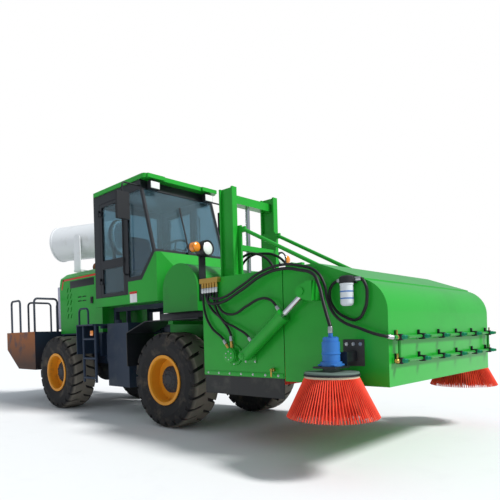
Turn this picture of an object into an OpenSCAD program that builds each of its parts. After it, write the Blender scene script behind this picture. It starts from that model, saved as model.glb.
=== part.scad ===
// Road sweeper: an articulated compact loader with a lifting sweeper head in front,
// a mist cannon on the bonnet and a ballast box with guard hoops behind.
// Sizes in millimetres. X forward, Y to the left, Z up, ground at z = 0.

/* [Running gear] */
// distance between the two axles
wheelbase = 2520; // [2300:10:2800]
// wheel centre above ground, also the tyre radius
axle_z = 530; // [480:5:600]
// tyre centre from the middle plane
track_half = 705; // [660:5:760]
// width of the tyre
tyre_w = 400; // [340:10:440]
// radius of the rim's tyre seat
seat_r = 256; // [230:2:270]

/* [Frames] */
// half width over the frame beams
beam_y = 330; // [300:10:350]
// underside of the frame beams
beam_z = 640; // [600:10:680]
// radius of the articulation pins
pivot_r = 36; // [28:1:45]

/* [Cab] */
// half width of the cab
cab_y = 620; // [580:5:660]
// underside of the cab
cab_z = 1450; // [1400:10:1480]
// underside of the roof
roof_z = 2990; // [2900:10:3050]
// thickness of the roof
roof_t = 75; // [50:5:100]
// thickness of the cab posts and doors
post_t = 45; // [35:1:55]

/* [Bonnet and rear] */
// half width of the bonnet
bonnet_y = 460; // [420:10:480]
// top of the bonnet
bonnet_z = 2060; // [1980:10:2080]
// half width of the ballast box
box_y = 860; // [760:10:880]
// top of the ballast box
box_z = 1150; // [1120:5:1160]
// rear face of the ballast box behind the front axle
box_rear = 4360; // [4200:10:4400]
// height of the guard hoops
hoop_h = 540; // [450:10:600]
// tube radius of the guard hoops
hoop_r = 17; // [12:1:20]

/* [Mist cannon] */
// height of the cannon's trunnions; below 2640 the turned drum tilts into the bonnet
cannon_z = 2640; // [2580:5:2700]
// radius of the cannon drum
drum_r = 285; // [250:5:290]
// rest turn of the cannon from straight ahead
cannon_turn = 23; // [0:1:30]

/* [Sweeper head] */
// half width of the head
head_y = 1058; // [1000:2:1080]
// top of the head
head_z = 1550; // [1530:5:1560]
// sheet thickness of the head
sheet = 8; // [6:1:12]
// front face of the hopper ahead of the front axle
hopper_x = 2693; // [2660:1:2710]
// underside of the hopper
hopper_z = 620; // [600:5:640]
// radius of the roller brush
roller_r = 330; // [300:5:335]
// radius of the side brushes at their tips
brush_r = 325; // [280:5:330]
// height of the side brush tips
brush_z = 403; // [400:1:420]
// top of the mast
mast_z = 2627; // [2600:1:2700]
// radius of the lift rod
rod_r = 25; // [20:1:30]

/* [Hidden] */
$fn = 48;
gap = 0.3;
rear_x = -wheelbase;
pivot_x = -wheelbase / 2;
fork_x = pivot_x - 220;
fork_t = 25;
step_x0 = rear_x + axle_z + 50;
step_x1 = fork_x + fork_t - 45;
deck_x = -3260;
bonnet_back = deck_x + 110;
bonnet_front = -1890;
sill_z = 1105;
tow_reach = 90;
jet_reach = 100;
mid_x = (hopper_x + jet_reach - box_rear - tow_reach) / 2;

// wheel profile points as [radius, offset from the tyre's middle plane]
side_h = tyre_w / 2;
bead_y = 160;
flange_r = seat_r + 23;
hub_r = 140;
spindle_r = 55;
spindle_end = track_half + 35;
hub_in = 60;

// sweeper head
hood_x0 = 850;
hood_x1 = 1800;
seam = 8;
hood_z = 640;
roller_x = 1250;
roller_z = 830;
roller_y = 1000;
shaft_r = 24;
ridge_x = 2130;
hinge_x = 1805;
hinge_z = head_z + 35;
hinge_pin = 16;
hinge_lug = 22;
hinge_ys = [-900, -430, 430, 900];
tip_y = 1130;
tip_low = [1440, 830];
tip_high = [2070, 1330];
tip_len = norm(tip_high - tip_low);
tip_ang = atan2(tip_high[1] - tip_low[1], tip_high[0] - tip_low[0]);
tip_pin = 18;
tip_rod = 25;
tip_barrel_r = 55;
brush_x = 2380;
brush_y = 1287;
brush_shaft = 20;
nozzle_pitch = 385;
bar_zs = [800, 965];
bar_x = hopper_x + 32;
bar_r = 13;
bar_stub = 1050;
motor_top = 1005;
filter_x0 = 2375;
filter_x1 = 2470;
filter_y = head_y + 30;
filter_z = 1388;

// mast and carriage
mast_x0 = 460;
mast_x1 = 660;
tank_x1 = mast_x0 - 46;
post_in = 320;
post_out = 395;
lift_x = 530;
rail_in = 290;
rail_out = 315;
carriage_x = 700;
stay_z = 2154;

// cab
cab_back = -1790;
door_x0 = -1640;
door_x1 = -1045;
door_z0 = cab_z + 120;
door_z1 = roof_z - 125;
glass_z0 = 2090;
glass_z1 = roof_z - 120;
hinge_zs = [cab_z + 310, door_z1 - 165];
cowl_z = 1735;
screen_foot = [-430, 2045];
screen_head = [-690, roof_z];
screen_half = cab_y - 30;
screen_edge = 42;
door_rail = 52;
sweep_r = 1060;
hinge_door = [-1640, cab_y + 16];
seat_back_z = 1950;
seat_back_h = 560;
head_room = 200;

// cannon
yoke_x = -2980;
yoke_in = drum_r + 22;
trunnion_r = 30;
drum_back = 580;
drum_front = 660;

// hose routes as [x, y, z] points on the left side
hose_r = 11;
port_x = 885;
port_pitch = 36;
port_y = head_y + 27;
port_z = 1460;
port_end = port_z - gap;
motor_r = 62;
elbow_end = motor_r + 63;
elbow_turns = [128, 96];
lead = 60;
tip_port_y = tip_y - 18;
tip_ports = [[120, tip_barrel_r + gap], [515, tip_barrel_r + 6 + gap]];

function port_spot(i, drop) = [port_x + i * port_pitch, port_y, port_end - drop];

function elbow(turn, r) = [roller_x + r * cos(turn), port_y, roller_z + r * sin(turn)];

// place at s along the tip cylinder and d out from its axis
function tip_spot(s, d) = [
    tip_low[0] + s * cos(tip_ang) - d * sin(tip_ang), tip_port_y,
    tip_low[1] + s * sin(tip_ang) + d * cos(tip_ang)
];

motor_routes = [
    [port_spot(0, 0), port_spot(0, lead), [905, port_y, 1230], [985, port_y, 1090],
        elbow(elbow_turns[0], elbow_end + lead), elbow(elbow_turns[0], elbow_end + gap)],
    [port_spot(1, 0), port_spot(1, lead), [985, port_y, 1270], [1130, port_y, 1150],
        elbow(elbow_turns[1], elbow_end + lead), elbow(elbow_turns[1], elbow_end + gap)]
];
port_routes = [
    [port_spot(4, 0), port_spot(4, lead), [1075, tip_port_y, 1270], [1160, tip_port_y, 1150],
        [1320, tip_port_y, 1075], tip_spot(tip_ports[0][0], tip_ports[0][1] + lead),
        tip_spot(tip_ports[0][0], tip_ports[0][1])],
    [port_spot(5, 0), port_spot(5, lead), [1135, tip_port_y, 1250], [1280, tip_port_y, 1195],
        [1460, tip_port_y, 1260], [1610, tip_port_y, 1310], [1710, tip_port_y, 1295],
        tip_spot(tip_ports[1][0], tip_ports[1][1] + lead), tip_spot(tip_ports[1][0], tip_ports[1][1])]
];
brush_route = [
    port_spot(2, 0), port_spot(2, lead), [1010, 1142, 1322], [1160, 1142, 1306], [1430, 1142, 1400],
    [1650, 1142, 1497], [1860, 1142, 1530], [2030, 1150, 1502], [2170, 1165, 1452], [2234, 1190, 1360],
    [2288, 1225, 1235], [2345, 1265, 1120], [brush_x, brush_y, motor_top + 40],
    [brush_x, brush_y, motor_top + gap]
];
water_route = [
    port_spot(3, 0), port_spot(3, lead), [1050, 1142, 1358], [1170, 1142, 1345], [1420, 1142, 1432],
    [1640, 1142, 1528], [1860, 1142, 1562], [2020, 1135, 1538], [2172, 1130, 1476], [2242, 1130, 1370],
    [2264, 1130, 1260], [2310, 1130, 1155], [2390, 1130, 1085], [2520, 1130, 1034], [2640, 1125, 990],
    [2705, 1095, 972], [bar_x, bar_stub + 5.2, bar_zs[1]]
];
filter_route = [
    [filter_x0 - gap, filter_y, filter_z], [filter_x0 - 45, filter_y, filter_z],
    [2278, filter_y, 1358], [2258, filter_y, 1290], [2290, filter_y, 1195], [2385, filter_y, 1120],
    [2480, filter_y, 1100], [2535, filter_y, 1160], [2558, filter_y, 1260], [2548, filter_y, 1345],
    [filter_x1 + 42, filter_y, filter_z], [filter_x1 + gap, filter_y, filter_z]
];
lift_routes = [
    [[mast_x0 + 10, -200, 1580 + gap], [mast_x0 + 10, -200, 1680], [540, -200, 1822],
        [670, -200, 1893], [790, -200, 1890], [900, -200, 1850], [1010, -200, 1760],
        [1060, -200, head_z + 100], [1060, -200, head_z + gap]],
    [[mast_x0 + 10, -120, 1580 + gap], [mast_x0 + 10, -120, 1680], [550, -120, 1822],
        [690, -120, 1893], [850, -120, 1892], [1000, -120, 1855], [1130, -120, 1762],
        [1210, -120, head_z + 100], [1210, -120, head_z + gap]]
];

// rounded plate: corners of radius r, from z = 0 up to t
module plate(x0, x1, half, t, r) {
    for (x = [x0 + r, x1 - r], s = [-1, 1])
        translate([x, s * (half - r), 0])
            cylinder(h = t, r = r);
    translate([x0 + r, -half, 0])
        cube([x1 - x0 - 2 * r, 2 * half, t]);
    translate([x0, r - half, 0])
        cube([x1 - x0, 2 * half - 2 * r, t]);
}

// box given by its two corners
module block(a, b) {
    translate(a)
        cube(b - a);
}

// the same thing on both sides
module both() {
    children();
    mirror([0, 1, 0])
        children();
}

// side view outline [x, z] drawn across from y0 to y1
module across(y0, y1) {
    translate([0, y1, 0])
        rotate([90, 0, 0])
            linear_extrude(height = y1 - y0)
                children();
}

// round bar along Y from y0 to y1
module bar_y(x, z, y0, y1, r) {
    translate([x, y0, z])
        rotate([-90, 0, 0])
            cylinder(h = y1 - y0, r = r);
}

// round bar along X from x0 to x1
module bar_x(y, z, x0, x1, r) {
    translate([x0, y, z])
        rotate([0, 90, 0])
            cylinder(h = x1 - x0, r = r);
}

// round bar between two points
module bar(a, b, r) {
    d = b - a;
    translate(a)
        rotate([0, acos(d[2] / norm(d)), atan2(d[1], d[0])])
            cylinder(h = norm(d), r = r);
}

function unit(v) = v / norm(v);

// where the bend at point i starts (way = -1) or ends (way = 1)
function bend_end(points, i, bend, way) =
    i == 0 || i == len(points) - 1 ? points[i] :
    let (d1 = unit(points[i] - points[i - 1]), d2 = unit(points[i + 1] - points[i]))
    points[i] + way * (way < 0 ? d1 : d2) * bend * tan(acos(d1 * d2) / 2);

// tube of radius r through the points, bent to the radius bend
module tube(points, r, bend) {
    last = len(points) - 1;
    for (i = [0 : last - 1])
        bar(bend_end(points, i, bend, 1), bend_end(points, i + 1, bend, -1), r);
    for (i = [1 : last - 1]) {
        d1 = unit(points[i] - points[i - 1]);
        d2 = unit(points[i + 1] - points[i]);
        out = unit(d1 * (d1 * d2) - d2);
        side = cross(out, d1);
        mid = bend_end(points, i, bend, -1) - bend * out;
        multmatrix([
            [out[0], d1[0], side[0], mid[0]], [out[1], d1[1], side[1], mid[1]],
            [out[2], d1[2], side[2], mid[2]], [0, 0, 0, 1]
        ])
            rotate_extrude(angle = acos(d1 * d2))
                translate([bend, 0])
                    circle(r = r);
    }
}

// a wheel piece, turned so that its outside faces the given side
module at_wheel(x, side) {
    translate([x, side * track_half, axle_z])
        rotate([-90 * side, 0, 0])
            children();
}

// hollow carcass with staggered lugs on both shoulders, trimmed to the tread's outline
module tyre_shape() {
    wall = 28;
    lugs = 22;
    lug_w = 106;
    lug_skew = 20;
    lug_mid = 90;
    tread_r = axle_z - 30;
    core_r = axle_z - 75;
    rotate_extrude()
        polygon([
            [seat_r, -bead_y], [seat_r + 34, -bead_y - 11], [390, -side_h], [core_r, 8 - side_h],
            [tread_r - 10, 35 - side_h], [tread_r, 75 - side_h], [tread_r, side_h - 75],
            [tread_r - 10, side_h - 35], [core_r, side_h - 8], [390, side_h],
            [seat_r + 34, bead_y + 11], [seat_r, bead_y], [seat_r, bead_y - wall],
            [390, side_h - wall], [core_r, 100], [core_r, -100], [390, wall - side_h],
            [seat_r, wall - bead_y]
        ]);
    intersection() {
        rotate_extrude()
            both_ways([
                [core_r + 5, 0], [axle_z, 0], [axle_z, side_h - 62], [axle_z - 20, side_h - 20],
                [482, side_h - 8], [450, side_h - 9], [450, side_h - 40], [core_r + 5, 110]
            ]);
        for (s = [-1, 1], i = [0 : lugs - 1])
            rotate([0, 0, (i + (1 + s) / 4) * 360 / lugs])
                translate([axle_z - 110, 0, s * lug_mid])
                    rotate([s * lug_skew, 0, 0])
                        translate([0, -lug_w / 2, -115])
                            cube([120, lug_w, 230]);
    }
}

// half outline and its mirror image about the second axis
module both_ways(points) {
    polygon(points);
    mirror([0, 1])
        polygon(points);
}

module rim_shape() {
    rotate_extrude()
        polygon([
            [spindle_r + gap, -hub_in], [hub_r, -hub_in], [hub_r, 24], [226, 34], [238, 12],
            [238, -bead_y], [246, -bead_y - 24], [flange_r, -bead_y - 24], [flange_r, -bead_y - 12],
            [seat_r, -bead_y - 12], [seat_r, bead_y + 12], [flange_r, bead_y + 12],
            [flange_r, bead_y + 24], [246, bead_y + 24], [238, bead_y], [238, 46], [hub_r, 46],
            [132, 70], [92, 92], [0, 96], [0, 45], [spindle_r + gap, 45]
        ]);
}

// axle beam with differential, hub flanges and the spindles that carry the wheels
module axle_shape(nose) {
    bar_y(0, axle_z, -track_half + 145, track_half - 145, 85);
    translate([0, 0, axle_z])
        sphere(r = 185);
    bar_x(0, axle_z, min(0, nose), max(0, nose), 80);
    both() {
        bar_y(0, axle_z, track_half - 150, track_half - hub_in - 4, 125);
        bar_y(0, axle_z, track_half - 100, spindle_end, spindle_r);
        block([-110, 265, axle_z], [110, beam_y, beam_z]);
    }
}

module rear_axle() {
    color("dimgray")
        translate([rear_x, 0, 0])
            axle_shape(420);
}

module front_axle() {
    color("dimgray")
        axle_shape(-420);
}

// rear frame: beams, fork for the articulation, cab rails and bonnet sills
module rear_frame() {
    color("darkslategray") {
        both() {
            block([deck_x, 270, beam_z], [fork_x, beam_y, 900]);
            for (x = [bonnet_back + 70, (bonnet_back + bonnet_front) / 2, bonnet_front - 60])
                block([x - 30, beam_y, 760], [x + 30, bonnet_y, 1085]);
            block([bonnet_back, beam_y, sill_z - 20], [bonnet_front + 10, bonnet_y, sill_z]);
            block([cab_back, 270, 900], [-1730, beam_y, cab_z]);
            block([cab_back, 270, 1390], [-640, beam_y, cab_z]);
            block([fork_x, 270, 1060], [fork_x + fork_t, beam_y, 1400]);
            block([fork_x, beam_y - 5, 700], [fork_x + fork_t, 660, 1085]);
            block([step_x1 - 200, beam_y, 760], [step_x1 - 140, 400, 1190]);
            block([step_x1 - 200, 400, 1150], [step_x1 - 140, 620, 1190]);
        }
        block([fork_x, -beam_y, 500], [fork_x + fork_t, beam_y, 1090]);
        block([deck_x, -beam_y, beam_z - 80], [deck_x + 20, beam_y, 1140]);
        for (z = [525, 605, 975, 1055]) {
            block([fork_x + 20, -110, z], [pivot_x, 110, z + 30]);
            translate([pivot_x, 0, z])
                cylinder(h = 30, r = 110);
        }
        for (z = [525, 975])
            translate([pivot_x, 0, z])
                cylinder(h = 110, r = pivot_r);
    }
}

module engine_block() {
    color("gray")
        block([bonnet_back + 290, -300, 900], [bonnet_front - 170, 300, 1700]);
}

// bonnet cover with slanted louvres in both sides
module bonnet() {
    shoulder = 70;
    louvre_w = 22;
    louvre_h = 84;
    vent_w = 110;
    vent_h = 18;
    color("green")
        difference() {
            bonnet_body(0, shoulder);
            bonnet_body(20, shoulder);
            both() {
                for (i = [0, 1], row = [0 : 4])
                    translate([bonnet_back + 255 + 100 * i, bonnet_y, 1380 + 105 * row])
                        rotate([0, 28, 0])
                            cube([louvre_w, 80, louvre_h], center = true);
                for (i = [0, 1], row = [0, 1])
                    translate([bonnet_back + 625 + 140 * i, bonnet_y, 1600 + 62 * row])
                        cube([vent_w, 80, vent_h], center = true);
            }
        }
}

// solid of the bonnet, drawn in by the wall w
module bonnet_body(w, shoulder) {
    intersection() {
        across(-bonnet_y + w, bonnet_y - w)
            polygon([
                [bonnet_back + w, sill_z - w], [bonnet_back + w, bonnet_z - 160],
                [bonnet_back + 35 + w, bonnet_z - 60 - w], [bonnet_back + 120 + w, bonnet_z - w],
                [bonnet_front - w, bonnet_z - w], [bonnet_front - w, sill_z - w]
            ]);
        translate([bonnet_back - 50, 0, 0])
            rotate([90, 0, 90])
                linear_extrude(height = bonnet_front - bonnet_back + 140)
                    polygon([
                        [w - bonnet_y, sill_z - 105], [bonnet_y - w, sill_z - 105],
                        [bonnet_y - w, bonnet_z - shoulder - w],
                        [bonnet_y - shoulder - w, bonnet_z - w],
                        [shoulder + w - bonnet_y, bonnet_z - w],
                        [w - bonnet_y, bonnet_z - shoulder - w]
                    ]);
    }
}

module rear_grille() {
    color("lavender")
        difference() {
            block([bonnet_back - 90, -380, 1180], [bonnet_back, 380, 1870]);
            for (i = [0 : 9])
                block([bonnet_back - 100, -320, 1240 + 60 * i], [bonnet_back - 50, 320, 1270 + 60 * i]);
        }
}

module exhaust() {
    pipe_x = bonnet_front - 160;
    color("peru") {
        bar_x(-120, bonnet_z + 85, bonnet_front - 670, bonnet_front - 270, 75);
        for (x = [bonnet_front - 610, bonnet_front - 340])
            block([x, -150, bonnet_z], [x + 30, -90, bonnet_z + 60]);
        tube([[pipe_x - 130, -120, bonnet_z + 85], [pipe_x, -120, bonnet_z + 85],
            [pipe_x, -120, bonnet_z + 330]], 28, 60);
    }
}

// hollow ballast box with its deck plate, the chamfered tail and the tow clevis
module ballast_box() {
    color("slategray") {
        difference() {
            ballast_body(0);
            ballast_body(14);
        }
        difference() {
            union()
                for (z = [930, 1020])
                    block([-box_rear - tow_reach, -70, z], [-box_rear, 70, z + 30]);
            translate([-box_rear - 50, 0, 900])
                cylinder(h = 200, r = 18);
        }
    }
}

module ballast_body(w) {
    across(w - box_y, box_y - w)
        polygon([
            [deck_x - w, 540 + w], [deck_x - w, box_z - w], [w - box_rear, box_z - w],
            [w - box_rear, 855], [460 - box_rear - w, 540 + w]
        ]);
}

// hoops as [x, y, x, y] of their two feet
hoops = [
    [deck_x - 80, 420, deck_x - 80, 820], [60 - box_rear, 60, 60 - box_rear, 490],
    [130 - box_rear, 820, 480 - box_rear, 820]
];

module guard_rails() {
    color("dimgray")
        both()
            for (h = hoops) {
                a = [h[0], h[1], box_z];
                b = [h[2], h[3], box_z];
                up = [0, 0, hoop_h];
                tube([a, a + up, b + up, b], hoop_r, 60);
            }
}

// green tub of the cab: sills, floor and the cowl that clears the front frame's sweep
module cab_tub() {
    color("limegreen")
        difference() {
            intersection() {
                across(-cab_y, cab_y)
                    polygon([
                        [cab_back, cab_z], [pivot_x + sweep_r, cab_z], [pivot_x + sweep_r, 1660],
                        [screen_foot[0] + 60, screen_foot[1]], screen_foot, [-700, cowl_z],
                        [-1000, cowl_z], [-1000, door_z0], [cab_back, door_z0]
                    ]);
                union() {
                    translate([pivot_x, 0, 0])
                        cylinder(h = 3000, r = sweep_r);
                    block([cab_back, -cab_y, 0], [-800, cab_y, 3000]);
                }
            }
            intersection() {
                across(25 - cab_y, cab_y - 25)
                    polygon([
                        [cab_back + 25, cab_z + 30], [pivot_x + sweep_r - 30, cab_z + 30],
                        [pivot_x + sweep_r - 30, 1650], [screen_foot[0] + 30, screen_foot[1] - 30],
                        [screen_foot[0] - 10, 2200], [cab_back + 25, 2200]
                    ]);
                union() {
                    translate([pivot_x, 0, 0])
                        cylinder(h = 3000, r = sweep_r - 30);
                    block([cab_back, -cab_y, 0], [-800, cab_y, 3000]);
                }
            }
        }
}

// black cab frame with door, windscreen, quarter and rear openings
module cab_frame() {
    color("dimgray") {
        difference() {
            across(-cab_y, cab_y)
                polygon([
                    [cab_back, door_z0], [cab_back, roof_z], screen_head, screen_foot,
                    [-700, cowl_z], [-1000, cowl_z], [-1000, door_z0]
                ]);
            across(post_t - cab_y, cab_y - post_t)
                polygon([
                    [cab_back + post_t, 1400], [cab_back + post_t, roof_z - post_t],
                    [screen_head[0] - 32, roof_z - post_t], [screen_foot[0] - 40, screen_foot[1]],
                    [screen_foot[0] - 40, 1400]
                ]);
            across(-screen_half, screen_half)
                polygon([
                    [screen_x(glass_z1) - 120, glass_z1], [screen_x(glass_z0) - 120, glass_z0],
                    [screen_x(glass_z0) + 100, glass_z0], [screen_x(glass_z1) + 100, glass_z1]
                ]);
            block([cab_back - 10, -500, 2130], [cab_back + 60, 500, glass_z1 - 20]);
            across(-900, 900)
                polygon(quarter_window);
            across(-900, 900)
                polygon([
                    [door_x0, door_z0 - 10], [door_x0, door_z1], [door_x1, door_z1],
                    [door_x1, door_z0 - 10]
                ]);
        }
        both()
            for (z = hinge_zs)
                translate([hinge_door[0], hinge_door[1], z]) {
                    translate([0, 0, 41])
                        cylinder(h = 40, r = 12);
                    translate([0, 0, -5])
                        cylinder(h = 60, r = 6);
                    block([-40, -17, 41], [0, 6, 81]);
                }
    }
}

quarter_window = [
    [-975, 1790], [-725, 1790], [screen_x(2065) - screen_edge, 2065],
    [screen_x(door_z1) - screen_edge, door_z1], [-975, door_z1]
];

function screen_x(z) = screen_foot[0]
    + (z - screen_foot[1]) * (screen_head[0] - screen_foot[0]) / (screen_head[1] - screen_foot[1]);

module cab_glass() {
    pane = 7;
    color("lightblue") {
        across(-screen_half, screen_half)
            polygon([
                [screen_x(glass_z1) - 10, glass_z1], [screen_x(glass_z0) - 10, glass_z0],
                [screen_x(glass_z0) - 10 - pane, glass_z0], [screen_x(glass_z1) - 10 - pane, glass_z1]
            ]);
        block([cab_back + 15, -500, 2130], [cab_back + 15 + pane, 500, glass_z1 - 20]);
        both()
            across(cab_y - 20 - pane, cab_y - 20)
                polygon(quarter_window);
    }
}

// roof slab with a raised middle and lamp corners
module cab_roof() {
    color("limegreen")
        translate([0, 0, roof_z]) {
            plate(-1800, -575, cab_y + 20, roof_t - 20, 60);
            translate([0, 0, roof_t - 20])
                plate(-1740, -640, cab_y - 40, 20, 60);
            both()
                block([-580, 330, 0], [-545, cab_y - 20, roof_t - 25]);
        }
}

module cab_seat() {
    color("midnightblue") {
        block([-1560, -130, cab_z + 30], [-1260, 130, 1840]);
        translate([0, 0, 1840])
            plate(-1640, -1150, 250, 110, 60);
        translate([-1620, 0, seat_back_z])
            rotate([0, -10, 0])
                translate([0, 0, -20])
                    plate(0, 110, 240, min(seat_back_h, roof_z - head_room - seat_back_z), 50);
    }
}

module steering() {
    color("dimgray") {
        block([-640, -170, cab_z + 30], [-520, 170, 1900]);
        bar([-600, 0, 1880], [-780, 0, 2190], 24);
        translate([-780, 0, 2190])
            rotate([0, -30, 0]) {
                rotate_extrude()
                    translate([185, 0])
                        circle(r = 15);
                for (a = [90, 210, 330])
                    rotate([0, 0, a])
                        bar_x(0, 0, 0, 185, 10);
            }
    }
}

// mirrors, grab rails, wiper and roof lamps of the cab
module cab_fittings() {
    mirror_y = cab_y + 260;
    rail_x = -1000;
    wiper_z = roof_z - 290;
    color("dimgray") {
        both() {
            tube([[-700, cab_y, roof_z - 80], [-700, mirror_y, roof_z - 80],
                [-700, mirror_y, roof_z - 220]], 11, 40);
            block([-725, mirror_y - 90, roof_z - 530], [-680, mirror_y + 90, roof_z - 200]);
            tube([[rail_x, cab_y, roof_z - 230], [rail_x, cab_y + 60, roof_z - 230],
                [rail_x, cab_y + 60, cab_z + 380], [rail_x, cab_y, cab_z + 380]], 12, 30);
            block([-632, 395, roof_z - 125], [-572, 545, roof_z - 25]);
            block([-615, 455, roof_z - 60], [-585, 485, roof_z]);
        }
        across(-72, -54)
            polygon([
                [screen_x(2060) + 14, 2060], [screen_x(wiper_z) + 14, wiper_z],
                [screen_x(wiper_z) + 26, wiper_z], [screen_x(2060) + 26, 2060]
            ]);
        across(-100, -30)
            polygon([
                [screen_x(2052), 2052], [screen_x(2085), 2085], [screen_x(2085) + 40, 2085],
                [screen_x(2052) + 40, 2052]
            ]);
    }
}

// slab door with two panes, hung on its rear edge
module door_shape() {
    color("dimgray")
        difference() {
            union() {
                block([door_x0 + 5, cab_y - post_t, door_z0 + 5], [door_x1 - 5, cab_y, door_z1 - 5]);
                block([door_x1 - 70, cab_y, 2010], [door_x1 - 30, cab_y + 25, 2060]);
                for (z = hinge_zs)
                    translate([hinge_door[0], hinge_door[1], z]) {
                        cylinder(h = 40, r = 12);
                        block([0, -17, 0], [60, 4, 40]);
                    }
            }
            for (z = hinge_zs)
                translate([hinge_door[0], hinge_door[1], z - 10])
                    cylinder(h = 60, r = 6 + gap);
            for (w = door_panes)
                block([door_x0 + door_rail, cab_y - 100, w[0]], [door_x1 - door_rail, cab_y + 1, w[1]]);
        }
}

// door panes as [bottom, top]
door_panes = [[door_z0 + door_rail, 1960], [2075, door_z1 - door_rail]];

module door_pane_shape() {
    color("lightblue")
        for (w = door_panes)
            block([door_x0 + door_rail, cab_y - 28, w[0]], [door_x1 - door_rail, cab_y - 21, w[1]]);
}

module door_left() {
    door_shape();
}

module door_right() {
    mirror([0, 1, 0])
        door_shape();
}

module door_glass_left() {
    door_pane_shape();
}

module door_glass_right() {
    mirror([0, 1, 0])
        door_pane_shape();
}

module side_tanks() {
    wall = 10;
    x0 = fork_x + fork_t;
    x1 = pivot_x + 290;
    color("slategray")
        both() {
            difference() {
                block([x0, 460, 370], [x1, 660, 1210]);
                block([x0 + wall, 460 + wall, 370 + wall], [x1 - wall, 660 - wall, 1210 - wall]);
            }
            translate([x0 + 125, 560, 1210])
                cylinder(h = 45, r = 45);
        }
}

// steps with platform, ladder, mudguard plate and grab rail
module side_steps() {
    deck_z = 1210;
    ladder_y = 815;
    rail_y = 830;
    ladder_xs = [step_x0 + 120, step_x1 - 10];
    color("slategray")
        both() {
            block([step_x0, 505, deck_z - 20], [step_x1, 860, deck_z]);
            for (x = ladder_xs)
                translate([x, ladder_y, 420])
                    cylinder(h = deck_z - 430, r = 18);
            for (z = [480, 745, 1010])
                bar_x(ladder_y, z, ladder_xs[0], ladder_xs[1], 16);
            block([step_x0, 505, 800], [step_x0 + 15, 860, deck_z - 10]);
            tube([[step_x0 + 40, rail_y, deck_z - 5], [step_x0 + 40, rail_y, deck_z + 220],
                [step_x1 - 160, rail_y, deck_z + 220], [step_x1 - 160, rail_y, deck_z - 5]], 14, 60);
        }
}

// base ring and fork that carry the drum
module cannon_yoke() {
    color("white")
        translate([yoke_x, 0, bonnet_z]) {
            translate([0, 0, 6])
                cylinder(h = 40, r = 150);
            rotate([0, 0, cannon_turn]) {
                block([-70, -yoke_in - 20, 40], [70, yoke_in + 20, 75]);
                both() {
                    block([-60, yoke_in, 60], [60, yoke_in + 20, cannon_z - bonnet_z]);
                    bar_y(0, cannon_z - bonnet_z, yoke_in, yoke_in + 20, 60);
                    bar_y(0, cannon_z - bonnet_z, drum_r - 20, yoke_in + 10, trunnion_r);
                }
            }
        }
}

module cannon_base() {
    color("white")
        translate([yoke_x, 0, bonnet_z])
            cylinder(h = 6 - gap, r = 165);
}

// hollow drum with fan hub, vanes and spray ring
module cannon_drum() {
    color("white")
        translate([yoke_x, 0, cannon_z])
            rotate([0, 0, cannon_turn])
                difference() {
                    union() {
                        rotate([0, 90, 0])
                            rotate_extrude()
                                polygon([
                                    [drum_r - 12, -drum_back], [drum_r + 8, -drum_back],
                                    [drum_r + 8, 30 - drum_back], [drum_r, 30 - drum_back],
                                    [drum_r, drum_front - 100], [drum_r - 20, drum_front - 80],
                                    [drum_r - 20, drum_front], [drum_r - 45, drum_front],
                                    [drum_r - 45, drum_front - 70], [drum_r - 12, drum_front - 100]
                                ]);
                        bar_x(0, 0, -420, 120, 90);
                        for (a = [0 : 45 : 315])
                            rotate([a, 0, 0])
                                block([-260, 60, -6], [-160, drum_r - 6, 6]);
                    }
                    bar_y(0, 0, -drum_r - 30, 24 - drum_r, trunnion_r + gap);
                    bar_y(0, 0, drum_r - 24, drum_r + 30, trunnion_r + gap);
                }
}

// front frame: neck with the pivot lugs, body, tank pedestal and mast pads
module front_frame() {
    color("green") {
        difference() {
            union()
                for (z = [560, 1010]) {
                    block([pivot_x, -110, z], [-980, 110, z + 40]);
                    translate([pivot_x, 0, z])
                        cylinder(h = 40, r = 110);
                }
            translate([pivot_x, 0, 0])
                cylinder(h = 2000, r = pivot_r + gap);
        }
        block([-1000, -160, 550], [-980, 160, 1060]);
        both() {
            block([-1000, 130, 600], [-550, 160, 1050]);
            block([-560, 270, beam_z], [430, 300, 1200]);
            block([430, 270, beam_z], [mast_x0, post_out, 1150]);
            block([-40, 290, 1150], [40, 760, 1187]);
        }
        block([-560, -300, beam_z - 60], [-535, 300, 1200]);
        block([-560, -300, 1180], [430, 300, 1200]);
        block([410, -300, beam_z], [430, 300, 1200]);
        block([-100, -220, 1200], [340, 220, 1285]);
    }
}

// angular front mudguards
module front_mudguards() {
    guard = [
        [-630, 670], [-630, 1075], [-250, 1199], [640, 1199], [640, 1187], [-248, 1187],
        [-618, 1066], [-618, 670]
    ];
    color("dimgray")
        both()
            across(520, 930)
                polygon(guard);
}

// round-topped hydraulic oil tank across the front frame
module oil_tank() {
    color("green")
        difference() {
            oil_tank_body(0);
            oil_tank_body(12);
        }
}

module oil_tank_body(w) {
    tank_y = 720;
    tank_z = 1285;
    side_z = 250;
    tank_x0 = pivot_x + sweep_r + 30;
    tank_r = (tank_x1 - tank_x0) / 2;
    translate([tank_x0 + tank_r, 0, tank_z])
        across(w - tank_y, tank_y - w)
            intersection() {
                union() {
                    translate([w - tank_r, 0])
                        square([2 * tank_r - 2 * w, side_z]);
                    translate([0, side_z])
                        circle(r = tank_r - w);
                }
                translate([-tank_r, w])
                    square([2 * tank_r, side_z + tank_r]);
            }
}

// head lamps with indicators on their brackets
module head_lamps() {
    color("dimgray")
        both() {
            block([tank_x1, 600, 1400], [tank_x1 + 16, 690, 1900]);
            bar_x(645, 1945, 400, 520, 85);
            bar_x(790, 1950, 420, 500, 52);
            block([425, 690, 1935], [440, 760, 1965]);
        }
}

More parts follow.
